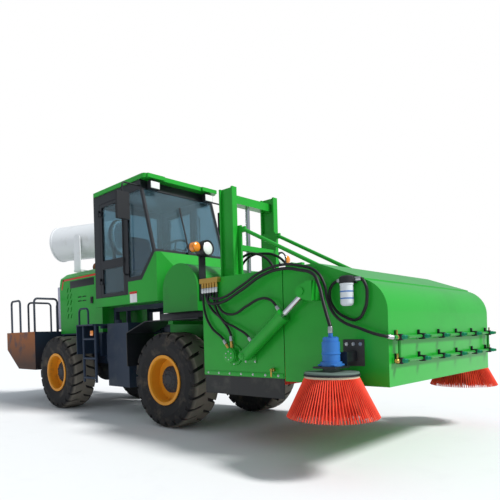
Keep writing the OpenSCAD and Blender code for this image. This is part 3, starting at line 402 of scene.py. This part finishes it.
# Hood, hopper and skirt
# Folded sheet covers in bright green. A flat bar with bolts clamps the rubber curtain along the
# hood's foot, and a small brass cock drains it.
dress(green, "hopper", "brush_hood")
rubber = finish("skirt_rubber", (62, 62, 62), 0.8, spots=(88, 86, 82), scale=6)
dress(rubber, "rubber_skirt")
steel = finish("bright_steel", (186, 188, 190), 0.3, metal=1.0, spots=(140, 138, 134))
head_side, clamp_face = 1058, 1064
clamp_bar = box((862, head_side - 2, 645), (1790, clamp_face, 682), 0.002)
settle(both(clamp_bar), "skirt_clamp", "head", green)


def bolt(spot, axis, size):
    hexagon = [(0, 0.7), (0.8, 0.62), (1.0, 0.5), (1.0, 0.08), (1.35, 0.06), (1.35, -0.1), (0, -0.1)]
    head = turned(hexagon, (0, 0, 0), axis, 6)
    pick(head)
    head.scale = (size, size, size)
    head.location = spot
    bpy.ops.object.transform_apply(location=True, rotation=True, scale=True)
    return head


outward, crisp = (0, 1, 0), 20
bolt_x, bolt_step, bolt_count = 910, 138, 7
row = [bolt(at(bolt_x + bolt_step * i, clamp_face, 663), outward, 0.009) for i in range(bolt_count)]
settle(both(*row), "skirt_bolts", "head", steel, crisp)
cock_body = [(0, 0.05), (0.011, 0.05), (0.011, 0.034), (0.016, 0.03), (0.016, 0.012), (0.01, 0.01),
             (0.01, -0.002), (0, -0.002)]
cock = turned(cock_body, at(1697, -head_side, 712), (0, -1, 0), 16)
lever = box((1690, -1108, 655), (1704, -1100, 722), 0.002)
settle(join([cock, lever]), "drain_cock", "head", brass)

# Roller motors and cylinder feet
# Cast motor bodies bolted to the hood's sides through a flange, in the same paint, and a bolted
# foot plate under each tip cylinder, whose pin is held by a washer.
roller_x, pin_x, axis_z = 1250, 1440, 830
shell_wall = [(0.0625, 0.0), (0.094, 0.0), (0.094, 0.012), (0.09, 0.016), (0.066, 0.018), (0.066, 0.05),
              (0.07, 0.054), (0.07, 0.064), (0.066, 0.068), (0.064, 0.08), (0.05, 0.084), (0, 0.084)]
shell = turned(shell_wall, at(roller_x, head_side, axis_z), outward, 48)
foot_half, foot_face, foot_bolt = 68, 1067, 54
foot = box((pin_x - foot_half, head_side - 1, axis_z - foot_half),
           (pin_x + foot_half, foot_face, axis_z + foot_half), 0.003)
washer_rim = [(0.0, 0.0), (0.03, 0.0), (0.03, 0.006), (0.016, 0.008), (0.014, 0.012), (0, 0.012)]
washer = turned(washer_rim, at(pin_x, 1182, axis_z), outward, 24)
settle(both(shell, foot, washer), "roller_motors", "head", green)


def motor_bolts(face, radius, size):
    first = bolt(at(roller_x, face, axis_z + radius), outward, size)
    return ring(first, 6, at(roller_x, face, axis_z), outward)


flange = motor_bolts(1070, 80, 0.008)
cover = motor_bolts(1141, 36, 0.0065)
corners = [bolt(at(pin_x + foot_bolt * i, foot_face, axis_z + foot_bolt * k), outward, 0.008)
           for i in (-1, 1) for k in (-1, 1)]
settle(both(flange, cover, *corners), "roller_motor_bolts", "head", steel, crisp)

# Roller brush
# Steel core with rings of orange-red plastic bristle pushed onto it. It turns across the hood,
# on a shaft between the two side plates.
bristle = finish("bristle", (252, 86, 58), 0.6, spots=(186, 44, 36), cover=(0.42, 0.66), scale=60,
                 grain=(1, 1, 0.06))
dress(bristle, "roller_brush")

# Spray pipes
# Two green steel pipes across the front of the hopper, with black nozzles clamped round them
# that carry teal jet caps. A brass cock closes each pipe end.
dress(dark_green, "spray_bars")
teal = finish("teal_caps", (20, 140, 104), 0.4)
clamp = box((2704, -980.5, 777), (2750, -944.5, 823), 0.005)
ear = box((2690, -971, 783), (2708, -953, 850), 0.003)
cap_wall = [(0, 0.045), (0.006, 0.045), (0.012, 0.04), (0.014, 0.026), (0.016, 0.024), (0.016, 0.0), (0, 0.0)]
cap = turned(cap_wall, at(2748, -962.5, 800), forward, 16)
pipe_rise, nozzle_step, nozzle_count = 0.165, 0.385, 6
clamps, caps = [], []
for level in (0, pipe_rise):
    for i in range(nozzle_count):
        step = (0, nozzle_step * i, level)
        clamps += [copy(clamp, step), copy(ear, step)]
        caps.append(copy(cap, step))
for piece in (clamp, ear, cap):
    bpy.data.objects.remove(piece)
settle(join(clamps), "nozzle_clamps", "tipper", plastic)
settle(join(caps), "nozzle_caps", "tipper", teal)
valve_wall = [(0, 0.03), (0.013, 0.03), (0.017, 0.024), (0.017, 0.006), (0.013, 0), (0, 0)]
valves = []
for z in (800, 965):
    valves.append(turned(valve_wall, at(2725, 985, z), outward, 12))
    valves.append(box((2719, 992, z + 12), (2731, 1004, z + 52), 0.003))
settle(both(*valves), "pipe_cocks", "tipper", brass)

# Brush arms, motors and filter
# Black welded arms with a bolted rubber seal plate, cast hydraulic motors in blue paint, and the
# water filter: a black head with a white cartridge that carries a plain blue band.
dress(black, "brush_arms")
blue = finish("motor_blue", (50, 112, 184), 0.4, spots=(40, 92, 152))
dress(blue, "brush_motors")
seal_face = 1066
seal = box((2345, head_side - 1, 762), (2515, seal_face, 956), 0.004)
settle(both(seal), "arm_seals", "tipper", rubber)
studs = [bolt(at(x, seal_face, 922), outward, 0.011) for x in (2375, 2430, 2485)]
settle(both(*studs), "arm_seal_bolts", "tipper", steel, crisp)
brush_x, brush_y, upward = 2380, 1287, (0, 0, 1)
motor_foot, motor_top, plate_half, screw_r = 775, 975, 68, 41
collar_rim = [(0.061, 0.08), (0.066, 0.084), (0.066, 0.092), (0.061, 0.096), (0.061, 0.08)]
collar = turned(collar_rim, at(brush_x, brush_y, motor_foot), upward, 32)
plate = box((brush_x - plate_half, brush_y - plate_half, motor_foot),
            (brush_x + plate_half, brush_y + plate_half, motor_foot + 15), 0.006)
screw = bolt(at(brush_x + screw_r, brush_y, motor_top), upward, 0.008)
screws = ring(screw, 8, at(brush_x, brush_y, motor_top), upward)
settle(both(collar, plate, screws), "motor_fittings", "tipper", blue)
paper = finish("filter_white", (214, 220, 224), 0.35)
filter_x, filter_y = 2420, -1120
filter_foot = at(filter_x, filter_y, 1198)
cartridge_wall = [(0, 0.0), (0.03, 0.001), (0.044, 0.012), (0.047, 0.02), (0.047, 0.15), (0.05, 0.152),
                  (0.05, 0.163), (0, 0.163)]
cartridge = turned(cartridge_wall, filter_foot, upward, 36)
settle(cartridge, "filter_cartridge", "tipper", paper)
band_rim = [(0.0474, 0.1), (0.0484, 0.1), (0.0484, 0.108), (0.0474, 0.108), (0.0474, 0.1)]
band = turned(band_rim, filter_foot, upward, 36)
low_band = copy(band, (0, 0, -0.05))
settle(join([band, low_band]), "filter_bands", "tipper", blue)
bracket = box((2373, filter_y, 1360), (2472, 1 - head_side, 1412), 0.008)
lid_wall = [(0, 0), (0.052, 0), (0.052, 0.045), (0.04, 0.055), (0, 0.055)]
lid = turned(lid_wall, at(filter_x, filter_y, 1361), upward, 32)
filter_head = join([bracket, lid])
settle(filter_head, "filter_head", "tipper", plastic)
for piece in (cartridge, filter_head):
    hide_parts("water_filter")

# Side brushes
# A grey disc with a black band and a pale clamping ring, and long orange-red bristles set in
# rows that splay outwards. The tips are cut unevenly by wear. A dark red cone inside the rows is
# painted shade in the gaps between the strands.
disc_paint = finish("brush_disc", (96, 112, 104), 0.6, spots=(70, 80, 76))
pale = finish("brush_ring", (196, 186, 160), 0.7)
# dark red for the cone inside the strand rows: painted shade between the strands
gap_shade = finish("bristle_painted_shade", (120, 26, 22), 0.8, spots=(84, 18, 16), scale=60)
tufts = {
    "deep": finish("bristle_deep", (190, 44, 34), 0.6),
    "bright": finish("bristle_bright", (250, 78, 50), 0.6),
    "pale": finish("bristle_pale", (255, 124, 90), 0.55),
}
disc_wall = [(0.021, 0.757), (0.06, 0.757), (0.06, 0.737), (0.186, 0.735), (0.19, 0.73), (0.19, 0.722),
             (0.021, 0.722), (0.021, 0.757)]
band_wall = [(0.15, 0.722), (0.193, 0.722), (0.195, 0.716), (0.195, 0.708), (0.15, 0.708), (0.15, 0.722)]
hem_wall = [(0.15, 0.708), (0.189, 0.708), (0.189, 0.694), (0.182, 0.69), (0.15, 0.69), (0.15, 0.708)]
shade_core_wall = [(0.1, 0.7), (0.16, 0.7), (0.215, 0.46), (0.185, 0.45), (0.1, 0.7)]
strand_top, strand_rows, row_turn, row_slant = 0.7, 11, math.radians(3.27), 0.1
top_in, top_pitch, foot_in, foot_pitch, foot_low = 0.128, 0.0055, 0.2, 0.0125, 0.404
for side, name in ((1, "left"), (-1, "right")):
    centre = at(brush_x, side * brush_y, 0)
    disc = turned(disc_wall, centre, upward, 56)
    band = turned(band_wall, centre, upward, 56)
    hem = turned(hem_wall, centre, upward, 56)
    strands = {"deep": [], "bright": [], "pale": []}
    for k in range(strand_rows):
        top_r = top_in + top_pitch * k
        foot_r = foot_in + foot_pitch * k - 0.006 * (k % 3)
        foot_z = foot_low + 0.009 * (k % 4) + 0.0035 * (strand_rows - 1 - k)
        start = row_turn * k
        end = start + row_slant * (k % 3 - 1)
        a = centre + Vector((top_r * math.cos(start), top_r * math.sin(start), strand_top))
        b = centre + Vector((foot_r * math.cos(end), foot_r * math.sin(end), foot_z))
        bpy.ops.object.select_all(action="DESELECT")
        bpy.ops.mesh.primitive_cone_add(vertices=4, radius1=0.003, radius2=0.004, depth=(b - a).length)
        strand = bpy.context.object
        strand.rotation_euler = (a - b).to_track_quat("Z", "Y").to_euler()
        strand.location = (a + b) / 2
        bpy.ops.object.transform_apply(location=True, rotation=True, scale=True)
        strands[("deep", "bright", "pale")[k % 3]].append(ring(strand, 83 + 7 * k % 23, centre, upward))
    body = "brush_" + name
    # cone inside the strand rows that carries the painted shade between the strands
    core = turned(shade_core_wall, centre, upward, 48)
    settle(disc, "brush_disc_" + name, body, disc_paint)
    settle(band, "brush_band_" + name, body, black_film)
    settle(hem, "brush_hem_" + name, body, pale)
    for tone, rows in strands.items():
        settle(join(rows), "brush_%s_%s" % (tone, name), body, tufts[tone])
    settle(core, "brush_shade_core_" + name, body, gap_shade)
    for piece in ("disc", "band", "hem", "core", *strands):
        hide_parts("side_brush_" + name)

# Wheels
# Tubeless tyres with block lugs on orange-yellow pressed rims; the cast hub is dark and holds the
# rim by ten nuts. The lug tops are worn pale with dust.
axle_z, tyre_y, rear_axle_x = 530, 705, -2520
groove_r, lug_r = 0.508, 0.527


def tread_rubber(name, x):
    mat = finish(name, (40, 39, 40), 0.8, spots=(100, 90, 78), cover=(0.52, 0.85), scale=7, bump=0.2)
    nodes, links = mat.node_tree.nodes, mat.node_tree.links
    centre = nodes.new("ShaderNodeMapping")
    centre.inputs["Location"].default_value = -at(x, 0, axle_z)
    centre.inputs["Scale"].default_value = (1, 0, 1)
    links.new(nodes["Texture Coordinate"].outputs["Object"], centre.inputs["Vector"])
    reach = nodes.new("ShaderNodeVectorMath")
    reach.operation = "LENGTH"
    links.new(centre.outputs["Vector"], reach.inputs[0])
    worn = nodes.new("ShaderNodeMapRange")
    worn.inputs["From Min"].default_value = groove_r
    worn.inputs["From Max"].default_value = lug_r
    worn.inputs["To Max"].default_value = 0.75
    links.new(reach.outputs["Value"], worn.inputs["Value"])
    dust = nodes.new("ShaderNodeMix")
    dust.data_type = "RGBA"
    dust.inputs["B"].default_value = srgb(142, 134, 122)
    links.new(worn.outputs["Result"], dust.inputs["Factor"])
    links.new(nodes["Color Ramp"].outputs["Color"], dust.inputs["A"])
    links.new(dust.outputs["Result"], nodes["Principled BSDF"].inputs["Base Color"])
    return mat


treads = {
    "front": tread_rubber("tyre_rubber_front", 0),
    "rear": tread_rubber("tyre_rubber_rear", rear_axle_x),
}
yellow = finish("rim_yellow", (228, 152, 38), 0.45, spots=(150, 104, 52), cover=(0.6, 0.85), scale=6)
hub_wall = [(0.0, 0.112), (0.05, 0.11), (0.062, 0.1), (0.098, 0.096), (0.105, 0.088), (0.143, 0.078),
            (0.15, 0.07), (0.15, 0.047), (0.0, 0.047)]
hub_centre = (0, 0, 0)
hub = turned(hub_wall, hub_centre, outward, 40)
nuts = ring(bolt(Vector((0, 0.083, 0.124)), outward, 0.0115), 10, hub_centre, outward)
caps = ring(bolt(Vector((0, 0.1, 0.078)), outward, 0.007), 8, hub_centre, outward)
valve_stem = [(0, 0.03), (0.004, 0.03), (0.005, 0.01), (0.007, 0.0), (0, 0)]
stem = turned(valve_stem, Vector((0, 0.046, 0.2)), outward, 8)
hub = join([hub, nuts, caps, stem])
for end, x in (("front", 0), ("rear", rear_axle_x)):
    for hand, side in (("left", 1), ("right", -1)):
        name = end + "_" + hand
        dress(treads[end], "tyre_" + name)
        dress(yellow, "rim_" + name)
        twin = copy(hub, at(x, side * tyre_y, axle_z), flip=side < 0)
        settle(twin, "hub_" + name, "wheel_" + name, cast)
bpy.data.objects.remove(hub)

# Hoses
# Black rubber hydraulic and water hoses with swaged ends, run from brass port blocks on the hood
# over the hinge to the motors, cylinders and filter, and from the mast down to the head.
dress(brass, "hose_fittings")
hose_rubber = finish("hose_rubber", (26, 26, 28), 0.45, spots=(42, 41, 41), scale=12)


def hose(name, points, radius):
    bpy.ops.object.select_all(action="DESELECT")
    bpy.ops.curve.primitive_bezier_curve_add()
    run = bpy.context.object
    line = run.data.splines[0]
    line.bezier_points.add(len(points) - 2)
    for knot, spot in zip(line.bezier_points, points):
        knot.co = spot
        knot.handle_left_type = knot.handle_right_type = "AUTO"
    run.data.bevel_depth = radius
    run.data.bevel_resolution = 3
    run.data.resolution_u = 10
    run.data.use_fill_caps = True
    bpy.ops.object.convert(target="MESH")
    run = bpy.context.object
    run.data.transform(run.matrix_world)
    run.matrix_world = Matrix()
    return run


motor = [
    [(885, 1085, 1460), (885, 1085, 1400), (905, 1085, 1230), (985, 1085, 1090), (1136, 1085, 976),
     (1173, 1085, 929)],
    [(921, 1085, 1460), (921, 1085, 1400), (985, 1085, 1270), (1130, 1085, 1150), (1231, 1085, 1014),
     (1237, 1085, 955)],
]
port = [
    [(1029, 1085, 1460), (1029, 1085, 1400), (1075, 1112, 1270), (1160, 1112, 1150), (1320, 1112, 1075),
     (1462, 1112, 995), (1500, 1112, 948)],
    [(1065, 1085, 1460), (1065, 1085, 1400), (1135, 1112, 1250), (1280, 1112, 1195), (1460, 1112, 1260),
     (1610, 1112, 1310), (1710, 1112, 1295), (1768, 1112, 1245), (1805, 1112, 1198)],
]
supply = [
    (957, 1085, 1460), (957, 1085, 1400), (1010, 1142, 1322), (1160, 1142, 1306), (1430, 1142, 1400),
    (1650, 1142, 1497), (1860, 1142, 1530), (2030, 1150, 1502), (2170, 1165, 1452), (2234, 1190, 1360),
    (2288, 1225, 1235), (2345, 1265, 1120), (2380, 1287, 1045), (2380, 1287, 1005),
]
water = [
    (993, 1085, 1460), (993, 1085, 1400), (1050, 1142, 1358), (1170, 1142, 1345), (1420, 1142, 1432),
    (1640, 1142, 1528), (1860, 1142, 1562), (2020, 1135, 1538), (2172, 1130, 1476), (2242, 1130, 1370),
    (2264, 1130, 1260), (2310, 1130, 1155), (2390, 1130, 1085), (2520, 1130, 1034), (2640, 1125, 990),
    (2705, 1095, 972), (2725, 1055, 965),
]
loop = [
    (2375, 1088, 1388), (2330, 1088, 1388), (2278, 1088, 1358), (2258, 1088, 1290), (2290, 1088, 1195),
    (2385, 1088, 1120), (2480, 1088, 1100), (2535, 1088, 1160), (2558, 1088, 1260), (2548, 1088, 1345),
    (2512, 1088, 1388), (2470, 1088, 1388),
]
lift = [
    [(470, 200, 1580), (470, 200, 1680), (540, 200, 1822), (670, 200, 1893), (790, 200, 1890),
     (900, 200, 1850), (1010, 200, 1760), (1060, 200, 1650), (1060, 200, 1550)],
    [(470, 120, 1580), (470, 120, 1680), (550, 120, 1822), (690, 120, 1893), (850, 120, 1892),
     (1000, 120, 1855), (1130, 120, 1762), (1210, 120, 1650), (1210, 120, 1550)],
]
runs = [
    ("motor_hose_1", motor[0], 11, -1, "head", "head", "head_hoses"),
    ("motor_hose_2", motor[1], 11, -1, "head", "head", "head_hoses"),
    ("water_hose", water, 11, -1, "head", "tipper", "hopper_hoses"),
    ("filter_hose", loop, 11, -1, "tipper", "tipper", "hopper_hoses"),
    ("lift_hose_1", lift[0], 13, -1, "front", "head", "lift_hoses"),
    ("lift_hose_2", lift[1], 13, -1, "front", "head", "lift_hoses"),
]
for side, hand in ((1, "left"), (-1, "right")):
    runs.append(("brush_hose_" + hand, supply, 13, side, "head", "tipper", "hopper_hoses"))
    runs.append(("port_hose_low_" + hand, port[0], 11, side, "head", "barrels", "head_hoses"))
    runs.append(("port_hose_high_" + hand, port[1], 11, side, "head", "barrels", "head_hoses"))
collars = {}
for name, route, radius, side, root, tip, node in runs:
    points = [at(x, side * y, z) for x, y, z in route]
    line = hose(name, points, (radius + 0.4) / 1000)
    settle(line, name, root if root == tip else None, hose_rubber, 60)
    if root != tip:
        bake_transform(line)
    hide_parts(node)
    for body, end, before in ((root, points[0], points[1]), (tip, points[-1], points[-2])):
        sleeve = (radius + 1.2) / 1000
        ferrule = [(sleeve, 0.002), (sleeve + 0.005, 0.002), (sleeve + 0.005, 0.04),
                   (sleeve + 0.002, 0.048), (sleeve, 0.048), (sleeve, 0.002)]
        collars.setdefault(body, []).append(turned(ferrule, end, before - end, 14))
for body, pieces in collars.items():
    settle(join(pieces), "hose_ferrules_" + body, body, steel)

# Floor, light and camera
# Pale studio floor, a soft sky and one large key light from the front, a little to the far side.
# The camera stands low, ahead of the near front corner.
bpy.ops.object.select_all(action="DESELECT")
bpy.ops.mesh.primitive_plane_add(size=120, location=(0, 0, -0.001))
floor = bpy.context.object
floor.name = floor.data.name = "studio_floor"
floor.data.materials.append(finish("floor_white", (236, 236, 236), 0.9, spots=(232, 232, 232)))

world = bpy.data.worlds.new("studio")
bpy.context.scene.world = world
world.use_nodes = True
sky = world.node_tree.nodes["Background"]
path = world.node_tree.nodes.new("ShaderNodeLightPath")
white_out = world.node_tree.nodes.new("ShaderNodeMix")
white_out.data_type = "RGBA"
white_out.inputs["A"].default_value = (0.41, 0.45, 0.49, 1)
white_out.inputs["B"].default_value = (1, 1, 1, 1)
world.node_tree.links.new(path.outputs["Is Camera Ray"], white_out.inputs["Factor"])
world.node_tree.links.new(white_out.outputs["Result"], sky.inputs["Color"])

sun = bpy.data.lights.new("key", "SUN")
sun.energy = 3.5
sun.angle = math.radians(12)
key = bpy.data.objects.new("key", sun)
sun_from = Vector((0.74, 0.22, 0.8))
key.rotation_euler = sun_from.to_track_quat("Z", "Y").to_euler()
bpy.context.scene.collection.objects.link(key)

yaw, pitch, roll = math.radians(46.22), math.radians(-0.159), math.radians(-1.578)
ahead = Vector((-math.sin(yaw) * math.cos(pitch), math.cos(yaw) * math.cos(pitch), math.sin(pitch)))
level = Vector((math.cos(yaw), math.sin(yaw), 0))
over = level.cross(ahead)
right = level * math.cos(roll) + over * math.sin(roll)
up = over * math.cos(roll) - level * math.sin(roll)
lens = bpy.data.cameras.new("photo")
lens.sensor_width = 36
lens.lens = 35.22
lens.shift_x = 0.0905
lens.shift_y = 0.1739
eye = bpy.data.objects.new("photo", lens)
stand = Matrix((right, up, -ahead)).transposed().to_4x4()
stand.translation = (5.0795, -4.304, 1.013)
eye.matrix_world = stand
bpy.context.scene.collection.objects.link(eye)
bpy.context.scene.camera = eye
bpy.context.scene.view_settings.view_transform = "Standard"
